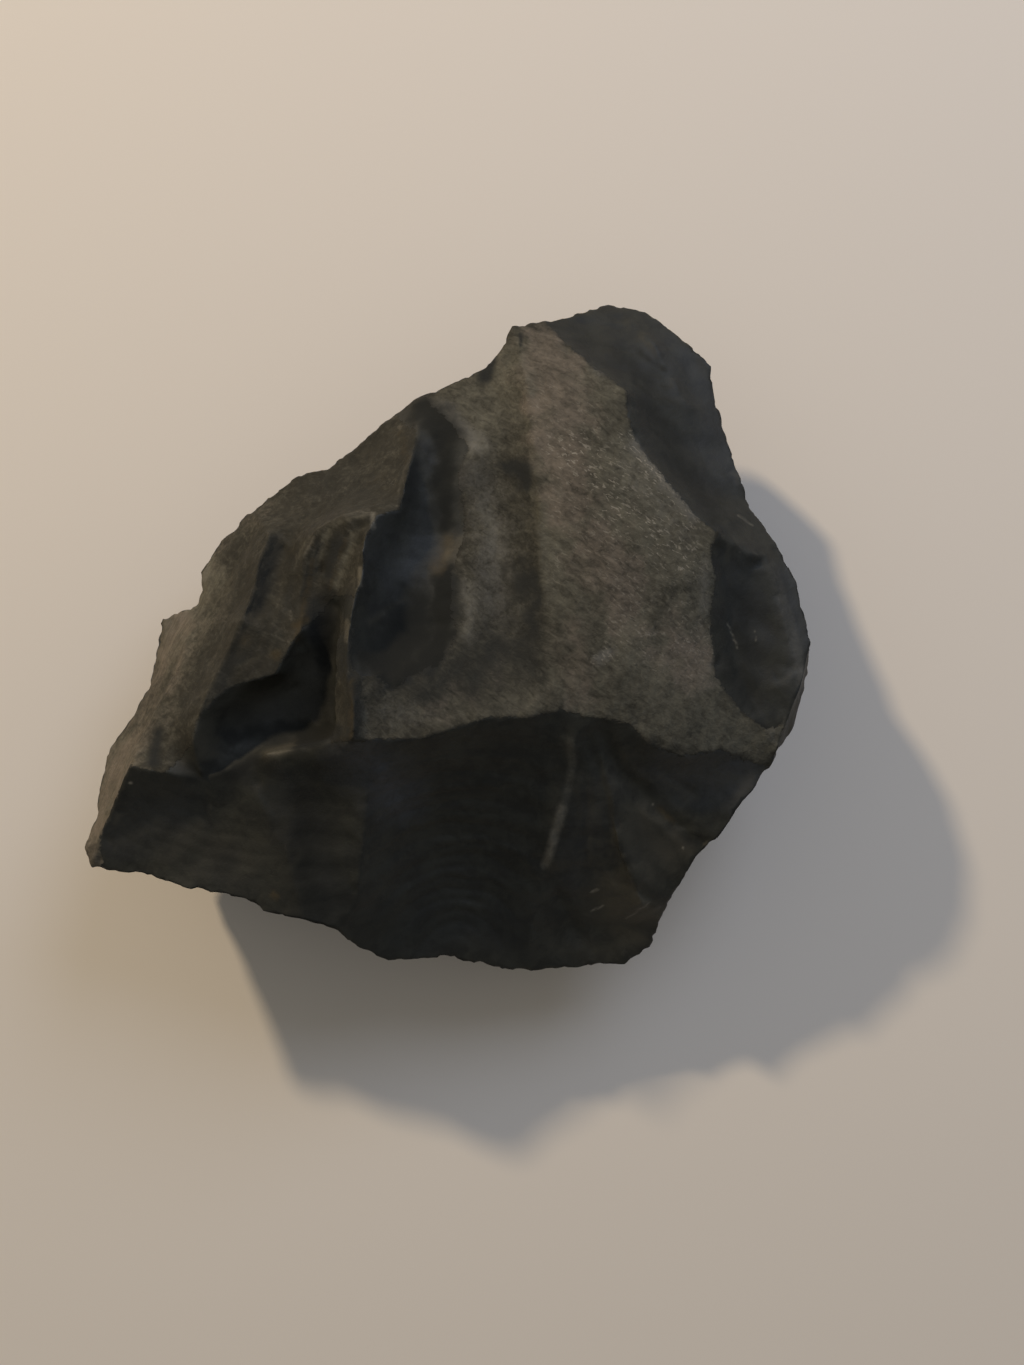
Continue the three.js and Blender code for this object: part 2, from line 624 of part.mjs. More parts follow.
const specimen = new THREE.Group();
specimen.add(stone);

export default specimen;
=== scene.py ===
import math

import bmesh
import bpy
import numpy as np
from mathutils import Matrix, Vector, geometry, noise


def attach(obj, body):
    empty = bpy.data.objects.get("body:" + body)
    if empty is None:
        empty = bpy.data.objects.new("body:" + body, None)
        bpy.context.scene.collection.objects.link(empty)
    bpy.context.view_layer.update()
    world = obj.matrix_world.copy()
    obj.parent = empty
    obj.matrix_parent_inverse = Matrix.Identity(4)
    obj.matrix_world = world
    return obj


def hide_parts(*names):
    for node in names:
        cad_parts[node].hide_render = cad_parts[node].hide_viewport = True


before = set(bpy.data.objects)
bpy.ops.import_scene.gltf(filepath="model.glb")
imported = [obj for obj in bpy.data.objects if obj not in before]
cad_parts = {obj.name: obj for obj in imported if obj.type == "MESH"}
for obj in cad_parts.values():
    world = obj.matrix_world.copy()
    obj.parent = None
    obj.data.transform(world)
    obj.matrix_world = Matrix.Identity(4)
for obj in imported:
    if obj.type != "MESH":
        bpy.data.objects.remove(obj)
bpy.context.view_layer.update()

# The lump: massive manganese ore, broken to shape by hammer blows. A copy of the solid is
# merged and split finer, then its faces are eased between the ridges, which stay crisp.
mm = 0.001
merge_gap = 0.002 * mm
ridge_bend = math.radians(17)
splits = 2
line_rounds = 2
face_rounds = 12
ground_level = 0.05 * mm

lump = bmesh.new()
lump.from_mesh(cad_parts["stone"].data)
bmesh.ops.remove_doubles(lump, verts=lump.verts, dist=merge_gap)
ridge_layer = lump.verts.layers.float.new("ridge")
line_layer = lump.edges.layers.float.new("line")
for edge in lump.edges:
    if edge.calc_face_angle_signed(0) > ridge_bend:
        edge[line_layer] = 1
        for corner in edge.verts:
            corner[ridge_layer] = 1
for _ in range(splits):
    bmesh.ops.subdivide_edges(lump, edges=lump.edges[:], cuts=1, use_grid_fill=True)


def off_ground(shape):
    return [corner for corner in shape.verts if corner.co.z > ground_level]


def line_ends(corner):
    return [edge.other_vert(corner) for edge in corner.link_edges if edge[line_layer] > 0.5]


def smooth(shape, corners, share):
    bmesh.ops.smooth_vert(
        shape, verts=corners, factor=share, use_axis_x=True, use_axis_y=True, use_axis_z=True
    )


on_lines = [(corner, line_ends(corner)) for corner in off_ground(lump)]
on_lines = [(corner, ends) for corner, ends in on_lines if len(ends) == 2]
for _ in range(line_rounds):
    middles = [(ends[0].co + ends[1].co) / 2 for corner, ends in on_lines]
    for (corner, ends), middle in zip(on_lines, middles):
        corner.co = corner.co.lerp(middle, 0.5)
open_corners = [corner for corner in off_ground(lump) if not line_ends(corner)]
for _ in range(face_rounds):
    smooth(lump, open_corners, 0.5)


def near(corner, start, end, reach):
    place = Vector((corner.co.x / mm, corner.co.y / mm))
    along = geometry.intersect_point_line(place, start, end)[1]
    return (place - Vector(start).lerp(end, min(max(along, 0), 1))).length < reach


rounded_from = 8 * mm
# the places that are rounded over, each with its rounds, its reach in millimetres and its line
# seen from above
rounded_places = [
    # right bank of the bowl
    (30, 2.3, (0.2, 16.0), (0.4, 9.0)),
    (30, 2.3, (0.4, 9.0), (-0.6, 4.0)),
    (30, 2.6, (-0.6, 4.0), (-1.2, -1.0)),
    # lip of the ledge, then the head and the left knuckle of the hollow
    (14, 1.3, (-14.6, -8.6), (-6.8, -7.6)),
    (14, 1.3, (-9.6, 2.8), (-9.2, 1.2)),
    (30, 1.5, (-18.1, -6.8), (-18.1, -8.2)),
]
for rounds, reach, start, end in rounded_places:
    high = [corner for corner in lump.verts if corner.co.z > rounded_from]
    rounded = [corner for corner in high if near(corner, start, end, reach)]
    for _ in range(rounds):
        smooth(lump, rounded, 0.5)
smooth(lump, off_ground(lump), 0.25)
lump.normal_update()
lump_mesh = bpy.data.meshes.new("psilomelane_lump")
lump.to_mesh(lump_mesh)
lump.free()

# Where things lie on the stone, in millimetres seen from above: how deep a place is inside an
# outline, and how strongly a set of ragged brush strokes covers it. A stroke is its strength,
# its width and the points of its line. It misses what faces down, except near the top.
facing_up = 0.12
near_top = 15
widest_wander = 2.5
tiny = 1e-9
count = len(lump_mesh.vertices)


def read(values, name, width):
    out = np.empty(count * width, np.float32)
    values.foreach_get(name, out)
    return out.reshape(-1, width) if width > 1 else out


def keep(name, values):
    attribute = lump_mesh.attributes.new(name, "FLOAT", "POINT")
    attribute.data.foreach_set("value", np.asarray(values, np.float32))


places = read(lump_mesh.vertices, "co", 3) / mm
normals = read(lump_mesh.vertices, "normal", 3)
ridge = read(lump_mesh.attributes["ridge"].data, "value", 1)
upward = np.clip(np.maximum(normals[:, 2] / facing_up, places[:, 2] - near_top), 0, 1)


# smooth noise in lumps of the given size, moved along by the shift so that no two are alike
def grain(size, shift):
    return np.array([noise.noise(Vector(p)) for p in places / size + shift])


# how far the ragged edges of the strokes stray, in x and in y
stray = np.stack([grain(1.5, shift) + 0.5 * grain(0.6, shift + 2) for shift in (31.0, 37.0)], axis=1)


def to_line(plan, start, end):
    side = np.subtract(end, start)
    reach = plan - start
    along = np.clip(reach @ side / max(side @ side, tiny), 0, 1)
    return np.linalg.norm(reach - along[:, None] * side, axis=1)


def depth_inside(outline):
    plan = places[:, :2]
    gap = np.full(count, np.inf)
    inside = np.zeros(count, bool)
    for start, end in zip(outline, outline[1:] + outline[:1]):
        gap = np.minimum(gap, to_line(plan, start, end))
        above = plan[:, 1] > start[1]
        crosses = above != (plan[:, 1] > end[1])
        rise = (end[1] - start[1]) or tiny
        meets = start[0] + (plan[:, 1] - start[1]) * (end[0] - start[0]) / rise
        inside ^= crosses & (plan[:, 0] < meets)
    return np.where(inside, gap, -gap)


def share_inside(depth, edge):
    return np.clip(depth / edge + 0.5, 0, 1)


def brush(strokes, softness, raggedness=0.0):
    cover = np.zeros(count)
    for strength, width, *line in strokes:
        plan = places[:, :2] + min(width, widest_wander) * raggedness * stray
        for start, end in zip(line, line[1:] or line):
            gap = to_line(plan, start, end) / (width / 2)
            cover = np.maximum(cover, strength * np.clip((1 + softness - gap) / (2 * softness), 0, 1))
    return cover * upward


# The weathering crust: a skin of dusty grey-brown oxide, kept on the nearly level face, along
# the crest and on the left flank, where the lump hasn't been broken open, and in patches where
# the flanks face down.
crust_edge = 0.3
overhang = 0.1
patch_size, patch_contrast, patch_loss = 8.0, 4, 1.2
level_crust = [
    (4.75, 23.75), (7.25, 24.25), (8.75, 22.25), (10.75, 20.25), (13.25, 18.25), (13.25, 16.25),
    (14.25, 13.75), (16.25, 11.25), (18.25, 8.75), (19.75, 7.75), (19.25, 6.25), (19.75, 4.25),
    (19.25, 1.75), (19.75, -2.75), (20.75, -4.25), (22.25, -5.75), (23.75, -6.75), (25.25, -6.25),
    (24.75, -8.25), (24.25, -9.75), (20.25, -8.25), (17.25, -8.75), (14.75, -7.75), (13.25, -6.25),
    (10.25, -5.75), (8.25, -5.25), (6.25, -5.75), (3.25, -5.75), (-1.75, -7.25), (-5.75, -7.25),
    (-5.75, -4.75), (-5.75, -2.75), (-4.75, -2.75), (-3.75, -3.75), (-2.25, -2.75),
    (-0.25, -1.75), (0.75, 0.25), (0.25, 2.25), (0.25, 4.75), (1.25, 7.25), (1.25, 9.25),
    (0.75, 12.25), (1.35, 13.6), (1.65, 14.1), (0.3, 15.9), (-1.2, 17.5), (-1.75, 18.4),
    (2.25, 20.25), (3.75, 21.75),
]
left_crust = [
    (-27.25, -15.75), (-26.75, -13.25), (-26.25, -8.25), (-24.75, -6.25), (-23.25, -3.25),
    (-22.75, -0.75), (-22.25, 1.75), (-19.25, 2.75), (-19.25, 5.25), (-17.75, 7.75),
    (-15.25, 10.25), (-11.75, 12.75), (-9.25, 13.25), (-6.75, 15.25), (-4.25, 17.25),
    (-2.25, 15.25), (-2.75, 12.25), (-3.25, 9.25), (-4.75, 8.75), (-5.75, 6.75), (-5.75, 4.25),
    (-6.25, 2.75), (-7.75, 3.15), (-10.25, 0.75), (-11.25, -0.75), (-12.25, -2.75),
    (-14.75, -3.25), (-16.75, -4.75), (-17.75, -5.75), (-18.25, -7.75), (-20.25, -9.75),
    (-22.75, -9.25), (-24.25, -11.75), (-25.75, -14.75), (-25.7, -16.6), (-26.6, -18.0),
    (-28.0, -17.4),
]
crest_crust = [
    (-7.6, 1.7), (-6.4, 0.4), (-6.5, -2.0), (-5.6, -2.9), (-5.2, -7.4), (-7.9, -7.4),
]
level_depth = depth_inside(level_crust)
crust_depth = np.max([level_depth, depth_inside(left_crust), depth_inside(crest_crust)], axis=0)
facing_down = np.clip(-0.5 - normals[:, 2] / overhang, 0, 1)
flank_patches = grain(patch_size, 3.0) * patch_contrast - patch_loss
crust_depth = np.where(facing_down > 0, np.minimum(flank_patches, facing_down), crust_depth)
crusted = share_inside(crust_depth, crust_edge)
fresh = 1 - crusted
keep("crust_depth", crust_depth)

# Dust and painted shade: how thick the pale brown earth lies on the crust. It is thinnest on the
# shoulder, and left of the long fold of the level face, where the thinner dust is painted shade
# of the shallow valley.
fold_edge = 0.7
thin_dust, added_dust = 0.27, 0.21
fold_side = [
    (4.9, 22.5), (5.5, 19.5), (6.0, 15.0), (6.3, 10.0), (6.7, 5.5), (7.2, 1.2), (7.5, -3.8),
    (7.6, -7.0), (27.0, -9.0), (27.0, 12.0), (14.0, 24.0),
]
right_of_fold = share_inside(depth_inside(fold_side), fold_edge)
# left of the long fold the dust is thinner: painted shade of the shallow valley
level_dust_and_shade = (thin_dust + added_dust * right_of_fold) * share_inside(level_depth, crust_edge)
keep("dust_and_shade", level_dust_and_shade + brush([
    # level face
    (0.12, 4, (7.4, 22.0), (8.6, 17.5)), (0.20, 2.4, (7.0, 17.0), (7.6, 8.0)),
    (0.5, 1.3, (-0.9, 17.6), (2.1, 14.3)), (0.3, 1.2, (1.6, 2.4), (1.4, 0.2)),
    (0.3, 1.6, (2.6, 9.0), (3.6, 6.8)), (0.10, 6, (14.5, 1.0), (16.0, -4.0)),
    (0.14, 4, (18.0, -2.0), (22.5, -7.5)), (0.08, 6, (13.0, 10.0), (15.0, 6.0)),
    (0.10, 2.5, (8.0, -3.8), (16.0, -6.4)), (0.16, 2.2, (-3.0, -5.2), (3.0, -4.9), (6.0, -4.6)),
    (0.26, 4.5, (1.6, 17.0), (3.2, 16.4), (3.8, 20.5)),
    # shoulder and left flank
    (0.98, 5, (-19.5, 4.5), (-22.0, -0.5)), (0.50, 6, (-22.0, -3.0), (-23.5, -8.0)),
    (0.88, 6, (-24.5, -9.0), (-26.0, -14.0)), (0.80, 3, (-26.3, -15.5), (-26.8, -17.5)),
    (0.26, 4, (-16.5, 7.0), (-12.5, 11.5)), (0.22, 4, (-17.0, 1.0), (-18.5, -4.0)),
    (0.10, 5, (-8.5, 12.0), (-4.0, 14.5)), (0.8, 0.6, (-8.4, 7.6), (-9.7, 5.3)),
    (0.4, 0.4, (-10.3, 7.0), (-11.4, 4.6)), (0.16, 3.0, (-12.0, 4.0), (-12.6, 0.5)),
    # crest
    (0.10, 1.6, (-5.6, 7.0), (-6.3, 3.4)), (0.12, 0.9, (-7.4, -2.0), (-7.4, -7.0)),
    (0.55, 0.8, (-6.8, 7.6), (-7.8, 3.8)), (0.4, 0.6, (-5.6, 8.8), (-7.3, 8.3), (-8.4, 7.7)),
], softness=0.9, raggedness=0.3))

# Warmth: where the dust is pinkish tan instead of olive grey.
keep("warmth", brush([
    # level face
    (0.9, 4.0, (7.6, 21.5), (8.6, 17.0)), (0.8, 3.4, (8.4, 13.4), (9.4, 9.4)),
    (0.7, 2.4, (6.9, 17.5), (7.2, 10.0)), (1.0, 3.4, (10.8, 6.4), (12.6, 3.4)),
    (0.5, 3.6, (15.4, 1.8), (17.8, -1.6)), (0.6, 3.0, (9.0, 0.0), (9.6, -3.6)),
    (0.5, 2.4, (-1.0, -5.0), (2.0, -3.8)),
    # shoulder and left flank
    (0.55, 6.0, (-21.0, 2.0), (-24.0, -8.0), (-26.4, -15.5)), (0.3, 3.0, (-18.0, 6.0), (-14.0, 10.0)),
], softness=0.9, raggedness=0.5))

# Bloom: chalky grey powder on the rims of the crust and in the shallow valley. Flecks: pale
# grains, nearly all of them right of the long fold.
few_flecks = 0.05
keep("bloom", brush([
    # level face
    (1.0, 1.3, (-0.9, 17.6), (2.1, 14.3)), (0.6, 0.6, (0.1, 14.6)),
    (0.45, 3.0, (1.8, 12.8), (2.7, 9.4), (3.4, 6.5), (3.6, 2.4)), (0.5, 1.6, (3.1, 8.0), (4.0, 6.4)),
    (0.5, 1.4, (1.5, 3.6), (1.5, 0.2)), (0.5, 0.7, (10.6, 20.8), (11.3, 19.5)),
    (0.8, 1.0, (14.0, 14.2), (15.3, 12.0), (17.9, 9.0)), (0.3, 2.4, (13.5, 12.0), (16.8, 7.6)),
    (0.45, 0.8, (19.0, 5.5), (18.8, 2.0)), (0.8, 0.8, (10.9, -1.6), (12.0, -1.1)),
    (0.5, 0.8, (24.0, -6.8), (24.6, -7.7)), (0.3, 2.0, (-4.6, -5.0), (-1.5, -5.6)),
    # shoulder and left flank
    (0.3, 2.0, (-20.5, 3.8), (-19.6, 5.2)),
], softness=0.9, raggedness=0.4))
keep("flecks", few_flecks + right_of_fold * brush([
    (0.5, 4.0, (9.0, 13.4), (13.0, 9.4), (17.0, 6.0)), (0.3, 7.0, (9.0, 15.0), (12.0, 6.0), (16.0, 2.0)),
    (0.6, 1.6, (13.0, 14.8), (17.8, 8.6)), (0.7, 1.4, (10.9, -1.6), (12.0, -1.1)),
], softness=0.9, raggedness=0.4))

# Rust and painted light: yellow and orange-brown iron stains in the hollows and along the foot of
# the crest, and in the bowl a tan patch of painted light where the lamp reaches past the crest.
keep("rust_and_lit_patch", brush([
    # level face
    (0.35, 2.6, (7.2, 18.0)),
    # shoulder and left flank
    (0.4, 1.2, (-3.7, 15.6), (-2.9, 13.0)), (0.4, 2.0, (-5.0, 11.7)), (0.8, 0.9, (-12.3, -1.3)),
    (0.8, 0.7, (-10.9, 0.9), (-10.2, 1.3)), (0.6, 0.7, (-9.7, 5.6), (-10.8, -0.2)),
    (0.5, 1.4, (-14.3, -0.2)),
    # crest
    (0.6, 0.7, (-6.4, -3.2), (-6.4, -7.1)), (0.5, 0.6, (-7.2, 6.9), (-8.4, 3.4)),
    # bowl: painted light, the tan patch that the lamp reaches past the crest
    (0.75, 1.3, (0.1, 7.2), (-0.7, 5.2)),
    # front scars
    (0.7, 0.9, (-12.8, -19.0)), (0.7, 0.7, (16.0, -12.9), (17.0, -13.9)),
], softness=0.8))

# Grime and painted light: a thin film of brown earth that has been rubbed into the fresh faces,
# and the same brown as painted light in the shaded hollow, as a painted highlight on the lit lip
# of the ledge and as a painted patch of light in the bowl.
keep("grime_and_light", brush([
    # crest
    (0.55, 1.3, (-6.7, -3.1), (-6.8, -6.9)),
    # hollow and ledge: a painted highlight on the lit lip of the ledge, then painted light in the
    # shaded hollow
    (0.9, 0.9, (-13.0, -8.4), (-11.2, -7.9)), (0.4, 4.0, (-9.4, 0.4), (-11.4, -4.4), (-14.6, -4.8)),
    (0.3, 3.0, (-19.0, -3.6), (-18.4, -5.6)), (0.55, 2.8, (-18.0, -6.0), (-17.4, -8.6)),
    (0.4, 1.5, (-19.3, -6.4), (-19.0, -9.6)),
    # bowl: the next line is painted light, the patch that the lamp reaches past the crest
    (0.32, 1.5, (0.1, 7.6), (-0.3, 6.2)), (0.3, 1.0, (-0.1, 6.0), (-0.9, 4.8)),
    (0.6, 0.5, (-5.3, 1.0), (-4.1, 2.0), (-3.1, 2.8)),
    # right scars
    (0.2, 2.0, (10.0, 23.5), (12.0, 22.8)),
    # front scars
    (0.6, 3.0, (14.4, -13.8), (16.6, -16.4)), (0.6, 1.2, (13.4, -12.6), (15.6, -13.6), (18.0, -16.0)),
    (0.5, 2.6, (13.6, -14.6), (15.2, -17.8)), (0.35, 1.4, (13.1, -8.6), (16.2, -11.4)),
    (0.45, 1.0, (15.9, -10.2), (18.2, -12.1)), (0.34, 5.6, (-24.0, -14.0), (-15.0, -15.0)),
    (0.75, 4.6, (12.2, -20.4), (14.4, -21.4)), (0.3, 3.6, (12.4, -11.4), (16.0, -12.4)),
    (0.45, 3.0, (17.6, -9.8), (22.4, -10.8)), (0.4, 2.2, (8.0, -24.0), (12.0, -24.6)),
    (0.3, 2.4, (-21.0, -11.5), (-18.5, -11.5)), (0.3, 3.0, (11.0, -18.0), (13.0, -22.0)),
], softness=0.9, raggedness=0.3))

# Blue reflection: a steel-blue colour painted on fresh faces as the reflection of the cool light.
keep("cool_reflection", brush([
    # shoulder and left flank
    (0.5, 0.9, (-8.5, 6.9), (-9.0, 5.2)),
    # bowl
    (0.34, 4.6, (-4.3, 8.0), (-4.1, 4.6)), (0.15, 2.0, (-1.9, 13.2), (-2.6, 10.2)),
    # right scars
    (0.35, 3.0, (21.5, 4.5), (22.5, 1.0)), (0.25, 3.0, (16.8, 22.0), (19.8, 18.0), (20.6, 13.0)),
    (0.5, 1.8, (24.9, 4.8), (25.9, 0.6), (26.5, -3.6)),
    # front scars
    (0.4, 2.2, (-11.5, -11.0), (-10.6, -13.6)), (1.0, 3.4, (-6.0, -8.6), (-3.8, -11.4)),
    (0.9, 3.4, (17.4, -9.8), (22.4, -10.6)), (0.1, 5.0, (-6.0, -16.0), (4.0, -22.0)),
    (0.3, 3.0, (11.0, -12.0), (10.0, -18.0)), (0.35, 3.0, (-26.0, -15.0), (-20.0, -13.0)),
], softness=0.9, raggedness=0.3))

# Soot and painted shade: dull black manganese powder in a pool and in streaks on the crust, darker
# streaks on the fresh scars, and painted shade in the dip left of the long fold, in the bowl that
# the crest shades, and in the deep fresh hollow, on the wall left of the crest and on the ledge.
pool_strength, pool_edge, pool_wander = 0.85, 0.8, 0.4
left_of_fold = 1 - right_of_fold
pool = [
    (3.6, 13.2), (4.4, 12.9), (5.0, 13.6), (5.8, 13.0), (6.8, 13.1), (6.8, 10.9), (5.9, 10.4),
    (5.2, 10.9), (4.9, 11.7), (4.2, 12.2),
]
pool_depth = depth_inside(pool) + pool_wander * stray[:, 0]
pool_soot = pool_strength * share_inside(pool_depth, pool_edge) * left_of_fold
# the dip: painted shade of the shallow valley left of the long fold
valley_shade = left_of_fold * brush([
    (0.30, 2.2, (4.2, 15.4), (5.6, 9.4)), (0.30, 1.6, (6.0, 9.4), (6.2, 5.0)),
    (0.88, 2.8, (6.4, 4.2), (6.2, 1.6)), (0.70, 4.2, (6.0, 1.4), (5.2, -0.2), (4.2, -1.2)),
    (0.70, 4.8, (5.0, -0.8), (1.8, -2.4)), (0.62, 3.4, (2.0, -2.6), (-1.2, -3.6)),
], softness=1.3, raggedness=0.6)
streaks_and_shade = brush([
    # level face
    (0.4, 2.4, (1.4, 11.2), (3.0, 12.6)), (1.0, 1.1, (3.0, 21.0), (2.5, 20.0)), (1.0, 0.6, (1.4, 20.2)),
    (0.8, 0.3, (5.4, 22.9), (5.4, 22.1)), (0.3, 2.0, (-4.8, -5.6), (-2.8, -5.4)),
    # shoulder and left flank
    (0.3, 1.5, (-13.3, 7.2), (-13.8, 4.6), (-14.5, 2.0)),
    (0.5, 1.5, (-12.9, 7.2), (-13.2, 4.6), (-13.6, 2.2)), (0.9, 0.9, (-21.2, -6.9), (-21.1, -8.9)),
    (0.45, 1.2, (-11.2, 5.6), (-11.6, 2.2)), (0.85, 1.0, (-7.7, 6.8), (-8.5, 4.6)),
    (0.75, 0.45, (-9.2, 6.8), (-10.4, 2.7)), (0.35, 3.6, (-9.6, 11.4), (-6.4, 11.0)),
    (0.6, 1.6, (-8.6, 3.4), (-9.6, 2.0)), (0.5, 1.6, (-15.2, -1.5), (-16.2, -3.0)),
    (0.35, 1.5, (-17.6, -1.5), (-18.8, -5.5)), (0.3, 2.0, (-15.6, 4.6), (-16.6, 0.0)),
    # crest
    (0.75, 0.8, (-6.4, -3.0), (-6.3, -7.0)), (0.6, 1.2, (-7.0, 2.9), (-7.0, 1.5)),
    (0.75, 1.5, (-7.2, -0.4), (-7.2, -2.4)),
    # hollow and ledge: painted shade on the walls that face the lamp, in the hollow, left of the crest
    # and on the lip of the ledge
    (0.4, 4.2, (-10.4, -5.0), (-15.4, -6.6)), (0.7, 2.0, (-15.6, -7.0), (-13.0, -6.9), (-10.4, -6.6)),
    (0.6, 2.4, (-18.2, -9.6), (-16.0, -9.8), (-14.4, -9.3)), (0.5, 1.8, (-16.2, -8.0), (-15.0, -8.6)),
    (1.0, 1.3, (-10.8, -7.0), (-7.6, -6.8)), (0.8, 1.2, (-13.9, -8.9), (-15.9, -9.8)),
    (0.5, 0.8, (-10.6, -7.9), (-8.2, -7.5)), (0.9, 1.8, (-8.9, 1.6), (-9.0, -1.6)),
    (0.5, 1.8, (-8.9, -1.6), (-9.1, -7.0)), (0.9, 1.4, (-8.8, -7.4), (-10.6, -7.6)),
    (0.3, 3.0, (-16.4, -6.4), (-15.6, -8.6)),
    # bowl: painted shade, where the crest shades the bowl and on its unlit top chip
    (0.95, 2.6, (-1.6, 17.4), (0.0, 15.2)), (0.5, 1.6, (-2.4, 14.4), (-2.6, 10.0)),
    (0.75, 2.2, (-0.4, 14.6), (-0.2, 12.4), (-0.2, 8.8)), (0.8, 5.2, (-2.2, 1.6), (-3.6, -1.6)),
    (0.6, 3.0, (-1.4, 2.4), (-2.4, -1.0)),
    (0.95, 1.8, (-0.1, 4.4), (-0.2, 0.4), (-1.4, -2.2), (-3.2, -2.6)),
    (0.75, 3.0, (-5.6, -1.2), (-3.6, -2.8)),
    # right scars
    (0.4, 4.0, (8.0, 24.0), (12.5, 22.0)), (0.5, 1.2, (13.8, 20.0), (15.4, 18.0)),
    (0.5, 3.8, (14.8, 17.6), (17.4, 13.0), (20.0, 9.0)), (0.42, 4.0, (12.5, 21.5), (17.0, 17.5)),
    (0.2, 5.0, (17.0, 20.0), (20.5, 13.0)), (0.5, 3.4, (22.0, 3.0), (22.4, -4.6)),
    (0.3, 1.8, (22.8, 4.6), (23.6, 1.6), (24.4, -2.6)),
    (0.45, 0.8, (12.0, 22.3), (14.2, 22.2), (16.4, 20.8)), (0.4, 1.4, (24.4, 5.2), (24.8, 3.6)),
    # front scars
    (0.65, 4.6, (-10.8, -12.0), (-10.0, -19.5)), (0.35, 5.0, (-6.0, -21.5), (4.0, -23.0)),
    (0.3, 4.0, (-18.0, -16.6), (-14.0, -18.0)),
], softness=0.9, raggedness=0.3)
keep("soot_and_shade", np.max([pool_soot, valley_shade, streaks_and_shade], axis=0))

# Wear and painted highlights: rubbed pale spots on the crest and ridges, a few scratches and bright
# specks, and painted highlights on a rib of the shoulder and on the lip of the ledge.
keep("wear_and_highlight", brush([
    # shoulder and left flank; the fourth stroke is a painted highlight on a rib
    (0.4, 0.4, (-3.6, 9.5)), (0.25, 0.4, (-2.6, 13.6), (-3.1, 12.3), (-3.6, 9.9)),
    (0.4, 0.5, (-3.7, 16.0)), (0.4, 0.35, (-9.6, 7.2), (-10.3, 6.0)),
    (0.3, 0.4, (-11.4, 1.9), (-11.2, 1.3)),
    # crest
    (0.5, 0.45, (-5.2, 8.9), (-5.1, 7.8)), (0.45, 0.45, (-6.0, 4.8), (-5.95, 3.6)),
    (0.35, 0.5, (-6.9, 1.1), (-6.85, -0.3)), (0.25, 0.5, (-9.0, 8.0), (-7.4, 8.8), (-5.6, 9.2)),
    # hollow and ledge: a painted highlight on the lit lip of the ledge
    (0.22, 0.9, (-13.0, -8.4), (-11.4, -7.9)),
    # right scars
    (0.3, 0.3, (13.4, 15.4), (15.6, 11.6), (18.2, 8.7), (19.4, 7.6)),
    (0.5, 0.2, (20.1, 7.4), (21.7, 6.4)), (0.45, 0.22, (21.7, 9.3), (22.9, 8.6)),
    (0.45, 0.2, (22.6, 5.7)), (0.45, 0.2, (20.8, 1.2), (21.6, -0.7)),
    (0.4, 0.15, (22.9, 0.7), (23.0, -0.4)),
    (0.27, 1.3, (24.2, 5.4), (25.0, 2.9), (25.9, -0.1), (26.5, -3.2)),
    (0.3, 0.6, (24.8, -7.0), (25.9, -4.6)),
    # front scars
    (0.8, 0.25, (-22.9, -10.5)), (0.6, 0.2, (15.5, -12.5)), (0.8, 0.22, (10.9, -19.5), (11.4, -19.2)),
    (0.6, 0.22, (11.0, -21.1), (11.9, -20.6)), (0.45, 0.22, (13.6, -21.8), (14.6, -20.9), (15.4, -20.3)),
    (0.7, 0.25, (17.8, -15.9)), (0.30, 0.9, (9.0, -7.6), (9.2, -9.3), (8.9, -11.2), (8.2, -14.0)),
    (0.46, 0.9, (8.5, -12.6), (7.7, -15.8), (7.3, -17.2)),
], softness=0.6))

# Relief: shell-shaped ripples round the point of each blow, hackles, splits in the crust that
# run with the left flank, a grainy skin, and small chips along the ridges.
lift = np.zeros(count)
slow_grain = grain(2.4, 11.0)


def grooves(angle):
    return (1 - np.abs(np.sin(angle))) ** 2


ripple_wander = 0.35
# each blow: its point, the spacing and depth of its ripples, and the stroke that they cover
blows = [
    ((0.3, -24.5, 10.5), 0.95, 0.10, (1.0, 9, (0.4, -12.0), (0.4, -19.0))),
    ((-13, 2, 14), 0.95, 0.04, (1.0, 7, (-22.0, -14.5), (-15.0, -15.5))),
    ((-9.5, -28, 10), 0.8, 0.02, (1.0, 4.5, (-10.0, -12.0), (-9.5, -19.5))),
    ((11, 12, 14), 2.1, 0.045, (1.0, 6, (10.0, 24.0), (16.0, 19.0), (20.0, 12.0))),
    ((17.4, 0, 15), 1.7, 0.03, (1.0, 5, (22.0, 4.0), (22.5, -4.0))),
    ((10, -7, 18), 1.5, 0.04, (1.0, 6, (11.0, -14.0), (11.5, -22.0))),
    ((-3, 16, 17), 1.7, 0.04, (1.0, 5, (-2.0, 12.0), (-3.0, 1.0))),
]
for point, spacing, depth, stroke in blows:
    reach = np.linalg.norm(places - point, axis=1) + ripple_wander * slow_grain
    lift -= depth * grooves(math.pi * reach / spacing) * brush([stroke], softness=0.8) * fresh

